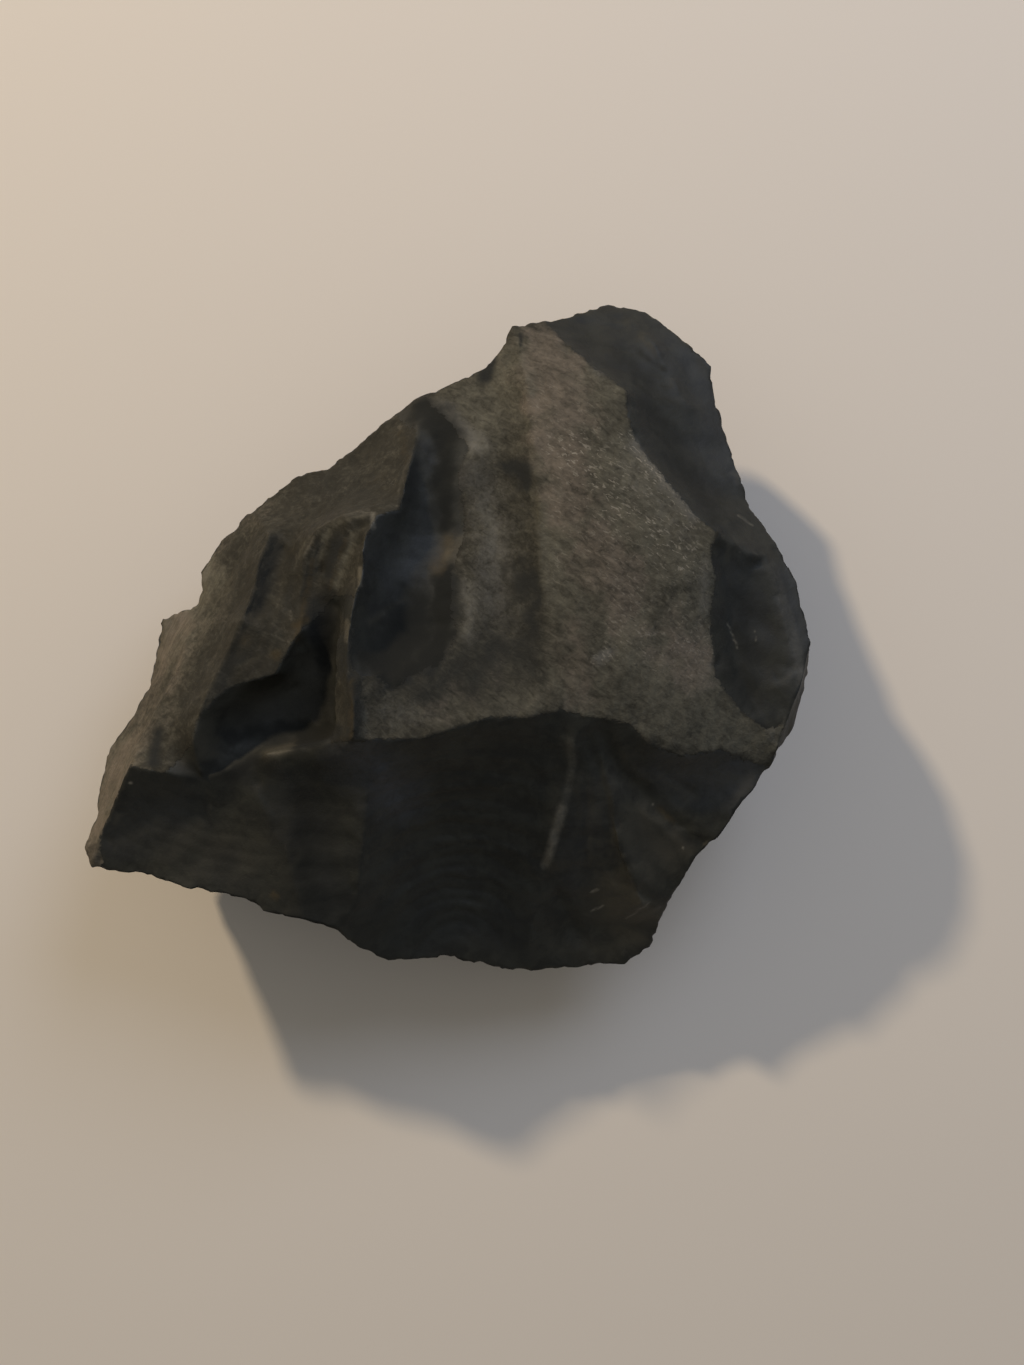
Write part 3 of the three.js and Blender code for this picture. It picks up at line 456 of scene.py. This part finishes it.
# hackles: the strength of each stroke is its depth in millimetres
lift -= brush([
    # right scars
    (0.16, 0.8, (20.0, 6.6), (20.6, 2.6), (21.5, -2.0), (23.0, -5.2)),
    (0.12, 0.9, (14.4, 23.4), (16.2, 21.2), (17.0, 18.6)),
    # front scars
    (0.34, 1.0, (10.4, -7.4), (11.2, -10.1), (12.0, -12.2), (12.3, -15.9), (13.3, -18.6), (15.2, -19.9)),
    (0.30, 1.0, (11.2, -7.0), (12.7, -9.7), (15.1, -12.1), (17.3, -14.1), (19.6, -15.7)),
    (0.22, 0.9, (6.9, -16.7), (8.5, -20.1), (10.1, -23.6)), (0.12, 1.0, (9.4, -9.0), (9.6, -14.0)),
    (0.14, 0.8, (10.4, -9.0), (10.2, -18.0)), (0.10, 0.7, (11.0, -9.4), (11.4, -16.0)),
    (0.12, 0.5, (15.9, -9.7), (18.3, -11.7)),
], softness=0.9, raggedness=0.2)

# splits of the left flank
split_spacing, split_depth, split_wander = 0.85, 0.06, 0.6
across_x, across_y = 0.88, -0.47
across = places[:, 0] * across_x + places[:, 1] * across_y
split_count = across / split_spacing + split_wander * slow_grain
left_side = brush([(1.0, 12, (-14.0, 8.0), (-24.0, -13.0))], softness=0.3) * crusted
keep("left_side", left_side)
lift -= split_depth * grooves(math.pi * split_count) * left_side

# grainy skin
crust_skin, fresh_skin = 0.05, 0.03
lift += crust_skin * grain(0.9, 5.0) * crusted + fresh_skin * grain(1.3, 7.0) * fresh

# chips along the ridges, and finer ones on the rims over a steep wall
chip_depth, rim_depth = 0.3, 0.24
chip_start, fullest_chip = 0.05, 0.4
steep_from, steep_fade = 0.65, 0.2
chips = np.clip(grain(1.5, 21.0) + 0.4 * grain(0.7, 23.0) - chip_start, 0, fullest_chip)
rim_chips = np.clip(grain(0.6, 25.0), 0, 1)
steep = np.clip((steep_from - normals[:, 2]) / steep_fade, 0, 1)
lift -= chip_depth * (chips * ridge)
lift -= rim_depth * rim_chips * (ridge * steep)

# no relief on two thin lips, where it would fold the skin, and none at the foot
lip_reach, foot_height = 0.6, 0.1
thin_lips = [((14.6, 25.6), (17.2, 24.1)), ((-18.1, -7.0), (-18.1, -7.8))]
for start, end in thin_lips:
    lift *= np.clip(to_line(places[:, :2], start, end) - lip_reach, 0, 1)
lift *= np.clip(places[:, 2] - foot_height, 0, 1)
places += normals * lift[:, None]
places[:, 2] = np.maximum(places[:, 2], 0)
lump_mesh.vertices.foreach_set("co", (places * mm).astype(np.float32).ravel())

# where a chip has folded the skin over a thin edge, the fold is drawn out again
fold_bend = math.radians(125)
fold_rounds = 8


def is_folded(corner):
    return any(edge.calc_face_angle(0) > fold_bend for edge in corner.link_edges)


unfolded = bmesh.new()
unfolded.from_mesh(lump_mesh)
for _ in range(fold_rounds):
    unfolded.normal_update()
    smooth(unfolded, [corner for corner in off_ground(unfolded) if is_folded(corner)], 0.5)
unfolded.to_mesh(lump_mesh)
unfolded.free()

crease = math.radians(38)
lump_mesh.update()
for face in lump_mesh.polygons:
    face.use_smooth = True
lump_mesh.set_sharp_from_angle(angle=crease)
stone = bpy.data.objects.new("psilomelane_lump", lump_mesh)
bpy.context.scene.collection.objects.link(stone)

# The ore itself and what covers it, in one finish: charcoal black with a waxy gleam where it
# is fresh, dull and dusty brown where the crust is kept.
# the soot blacks also serve as painted shade, the earth brown and rust brown as painted light, the worn
# cream as painted highlights and the steel blue as a painted reflection
charcoal, pale_charcoal = (0.0112, 0.0118, 0.0096, 1), (0.0220, 0.0228, 0.0178, 1)
reflected_steel_blue, earth_and_light_brown = (0.0390, 0.0430, 0.0490, 1), (0.052, 0.048, 0.036, 1)
dark_crust, pale_crust = (0.0165, 0.0156, 0.0115, 1), (0.0290, 0.0268, 0.0195, 1)
olive_dust, tan_dust = (0.112, 0.106, 0.081, 1), (0.140, 0.119, 0.095, 1)
split_brown, chalk_grey = (0.0210, 0.0180, 0.0125, 1), (0.145, 0.140, 0.128, 1)
fleck_cream, ridge_grey = (0.26, 0.240, 0.200, 1), (0.050, 0.047, 0.040, 1)
fresh_soot_and_shade, crust_soot_and_shade = (0.0066, 0.0074, 0.0066, 1), (0.0128, 0.0139, 0.0132, 1)
rust_and_lit_brown, worn_and_highlight_cream = (0.044, 0.032, 0.014, 1), (0.20, 0.185, 0.150, 1)
waxy_gleam = 0.36
fresh_roughness, dull_roughness = 0.6, 0.95
grain_height = 0.08 * mm
dust_turn, split_turn = -33, 62

ore = bpy.data.materials.new("manganese_ore")
ore.use_nodes = True
tree = ore.node_tree
gloss = tree.nodes["Principled BSDF"]


def node(kind, sockets=(), **settings):
    made = tree.nodes.new("ShaderNode" + kind)
    for name, value in settings.items():
        setattr(made, name, value)
    for key, value in dict(sockets).items():
        if isinstance(value, bpy.types.NodeSocket):
            tree.links.new(value, made.inputs[key])
        else:
            made.inputs[key].default_value = value
    return made.outputs


def maths(operation, first, second):
    return node("Math", {0: first, 1: second}, operation=operation)[0]


# a soft step from floor to top, as the value goes from low to high
def ramp(value, low, high, floor=0.0, top=1.0):
    sockets = {0: value, 1: low, 2: high, 3: floor, 4: top}
    return node("MapRange", sockets, interpolation_type="SMOOTHSTEP")[0]


# sockets 6 and 7 of a colour mix are its two colours, and 2 is what comes out
def blend(share, first, second):
    return node("Mix", {0: share, 6: first, 7: second}, data_type="RGBA")[2]


def layer(name):
    return node("Attribute", attribute_name=name)["Fac"]


object_place = node("TexCoord")["Object"]
in_mm = node("VectorMath", {0: object_place, 1: (1 / mm, 1 / mm, 1 / mm)}, operation="MULTIPLY")[0]


def speckle(size, detail=4.0, turn=0.0, stretch=1):
    scale = (size * stretch, size, size)
    sockets = {"Vector": in_mm, "Rotation": (0, 0, math.radians(turn)), "Scale": scale}
    turned = node("Mapping", sockets, vector_type="TEXTURE")[0]
    sockets = {"Vector": turned, "Scale": 1.0, "Detail": detail, "Roughness": 0.6, "Distortion": 0.7}
    return node("TexNoise", sockets)["Fac"]


coarse = speckle(2.2)
blotch = speckle(3.2)
patchy = speckle(1.0, detail=6.0)
fine = speckle(0.30, detail=3.0)
ragged = speckle(0.7, detail=5.0)
fleck = speckle(0.20, detail=2.0, turn=dust_turn, stretch=2.8)
brushed = speckle(0.42, turn=dust_turn, stretch=2.4)
strand = speckle(0.26, turn=split_turn, stretch=10)


def centred(value, strength):
    return maths("MULTIPLY", maths("SUBTRACT", value, 0.5), strength)


def added(value, *others):
    for other in others:
        value = maths("ADD", value, other)
    return value


is_crust = ramp(added(layer("crust_depth"), centred(ragged, 1.1)), -0.06, 0.06)

# fresh ore
fresh_tone = ramp(added(coarse, centred(patchy, 0.8)), 0.30, 0.70)
surface = blend(fresh_tone, charcoal, pale_charcoal)
# a steel-blue painted reflection of the cool light on the fresh faces
cool_reflection_share = maths("MULTIPLY", layer("cool_reflection"), ramp(ragged, 0.3, 0.6, floor=0.55))
surface = blend(cool_reflection_share, surface, reflected_steel_blue)
# rubbed-in brown earth, and the same brown as painted light and a painted highlight
grime_and_light_share = ramp(added(layer("grime_and_light"), centred(patchy, 0.35)), 0.02, 0.95)
surface = blend(grime_and_light_share, surface, earth_and_light_brown)

# crust
crust = blend(ramp(patchy, 0.3, 0.7), dark_crust, pale_crust)
# dust on the crust; less of it left of the long fold is painted shade
dust_and_shade_share = added(layer("dust_and_shade"), centred(blotch, 0.9), centred(brushed, 1.1), centred(fine, 0.4))
dust_and_shade_share = ramp(dust_and_shade_share, 0.0, 1.1)
warm = ramp(added(layer("warmth"), centred(blotch, 1.6)), 0.1, 0.8)
crust = blend(dust_and_shade_share, crust, blend(warm, olive_dust, tan_dust))
grained = maths("MULTIPLY", ramp(strand, 0.40, 0.62), ramp(layer("left_side"), 0.2, 0.8, top=0.3))
crust = blend(grained, crust, split_brown)
chalky = ramp(added(layer("bloom"), centred(patchy, 0.9), centred(fine, 0.6)), 0.0, 1.1)
crust = blend(maths("MULTIPLY", chalky, 0.7), crust, chalk_grey)
fleck_share = ramp(added(layer("flecks"), centred(blotch, 1.2)), 0.0, 0.9, top=0.8)
crust = blend(maths("MULTIPLY", ramp(fleck, 0.57, 0.66), fleck_share), crust, fleck_cream)

# what lies over both
surface = blend(is_crust, surface, crust)
worn_ridge = maths("MULTIPLY", ramp(layer("ridge"), 0.7, 1.0), ramp(ragged, 0.52, 0.7, top=0.3))
surface = blend(worn_ridge, surface, ridge_grey)
# soot, and the same black as painted shade in the valley, the bowl and the hollow
soot_and_shade_share = ramp(added(layer("soot_and_shade"), centred(patchy, 0.5)), 0.05, 0.85)
surface = blend(maths("MULTIPLY", soot_and_shade_share, 0.94), surface, blend(is_crust, fresh_soot_and_shade, crust_soot_and_shade))
# rust stains, and a tan patch of painted light in the bowl
rust_and_lit_share = ramp(added(layer("rust_and_lit_patch"), centred(ragged, 0.8)), 0.2, 0.9)
surface = blend(maths("MULTIPLY", rust_and_lit_share, 0.7), surface, rust_and_lit_brown)
# rubbed wear, and painted highlights on a rib and on the ledge
worn_and_highlight_share = ramp(added(layer("wear_and_highlight"), centred(fine, 0.2)), 0.1, 0.95)
surface = blend(worn_and_highlight_share, surface, worn_and_highlight_cream)
tree.links.new(surface, gloss.inputs["Base Color"])
gloss.inputs["Specular IOR Level"].default_value = waxy_gleam
roughness = ramp(maths("MAXIMUM", is_crust, soot_and_shade_share), 0, 1, fresh_roughness, dull_roughness)
tree.links.new(roughness, gloss.inputs["Roughness"])
height = added(maths("MULTIPLY", fine, 0.7), maths("MULTIPLY", patchy, 0.8))
height = maths("MULTIPLY", height, ramp(is_crust, 0, 1, floor=0.45))
bump = node("Bump", {"Strength": 0.8, "Distance": grain_height, "Height": height})[0]
tree.links.new(bump, gloss.inputs["Normal"])
lump_mesh.materials.append(ore)
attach(stone, "root")
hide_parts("stone")

# The floor under the stone: a wide sheet of plain warm white paper, laid flat. It is only the
# background and no part of the piece.
paper_width = 3000 * mm
warm_white = (0.72, 0.672, 0.618, 1)

sheet = bmesh.new()
bmesh.ops.create_grid(sheet, x_segments=1, y_segments=1, size=paper_width / 2)
sheet_mesh = bpy.data.meshes.new("paper_floor")
sheet.to_mesh(sheet_mesh)
sheet.free()
paper = bpy.data.objects.new("paper_floor", sheet_mesh)
bpy.context.scene.collection.objects.link(paper)
pale = bpy.data.materials.new("pale_paper")
pale.use_nodes = True
pale.node_tree.nodes["Principled BSDF"].inputs["Base Color"].default_value = warm_white
pale.node_tree.nodes["Principled BSDF"].inputs["Roughness"].default_value = 0.9
sheet_mesh.materials.append(pale)


# The light: a warm lamp at the back left throws the one clear shadow, a wide cool panel at the
# back right fills it, and the room glows dimly, least of all from the front.
def lamp(name, toward, distance, size, power, colour):
    light = bpy.data.lights.new(name, "AREA")
    light.shape = "DISK"
    light.size = size * mm
    light.energy = power
    light.color = colour
    holder = bpy.data.objects.new(name, light)
    direction = Vector(toward).normalized()
    holder.location = direction * distance * mm
    holder.rotation_euler = direction.to_track_quat("Z", "Y").to_euler()
    bpy.context.scene.collection.objects.link(holder)


lamp("warm_lamp", (-0.513, 0.663, 0.545), distance=400, size=28, power=1.0, colour=(1.0, 0.80, 0.54))
lamp("cool_panel", (0.40, 0.62, 0.66), distance=300, size=170, power=0.30, colour=(0.66, 0.77, 1.0))

# the helpers above now add their nodes to the room
back_and_up = (0, 0.75, 0.66)
front_glow, back_glow = 0.12, 0.29
room = bpy.data.worlds.new("room_glow")
bpy.context.scene.world = room
room.use_nodes = True
tree = room.node_tree
glow = tree.nodes["Background"]
sky = node("TexCoord")["Generated"]
toward_back = node("VectorMath", {0: sky, 1: back_and_up}, operation="DOT_PRODUCT")["Value"]
tree.links.new(ramp(toward_back, -0.6, 0.9, front_glow, back_glow), glow.inputs["Strength"])
glow.inputs["Color"].default_value = (1.0, 0.97, 0.90, 1)

# The camera hangs straight over the stone and looks down from a hand's width away, close
# enough for the top of the lump to stand out larger than its foot.
lens_x, lens_y, lens_height = 4.75, -3.25, 125
focal_length, film_size = 38.87, 36

lens = bpy.data.cameras.new("camera")
lens.lens = focal_length
lens.sensor_width = film_size
lens.clip_start = mm
camera = bpy.data.objects.new("camera", lens)
camera.location = (lens_x * mm, lens_y * mm, lens_height * mm)
bpy.context.scene.collection.objects.link(camera)
bpy.context.scene.camera = camera
bpy.context.scene.view_settings.view_transform = "Standard"
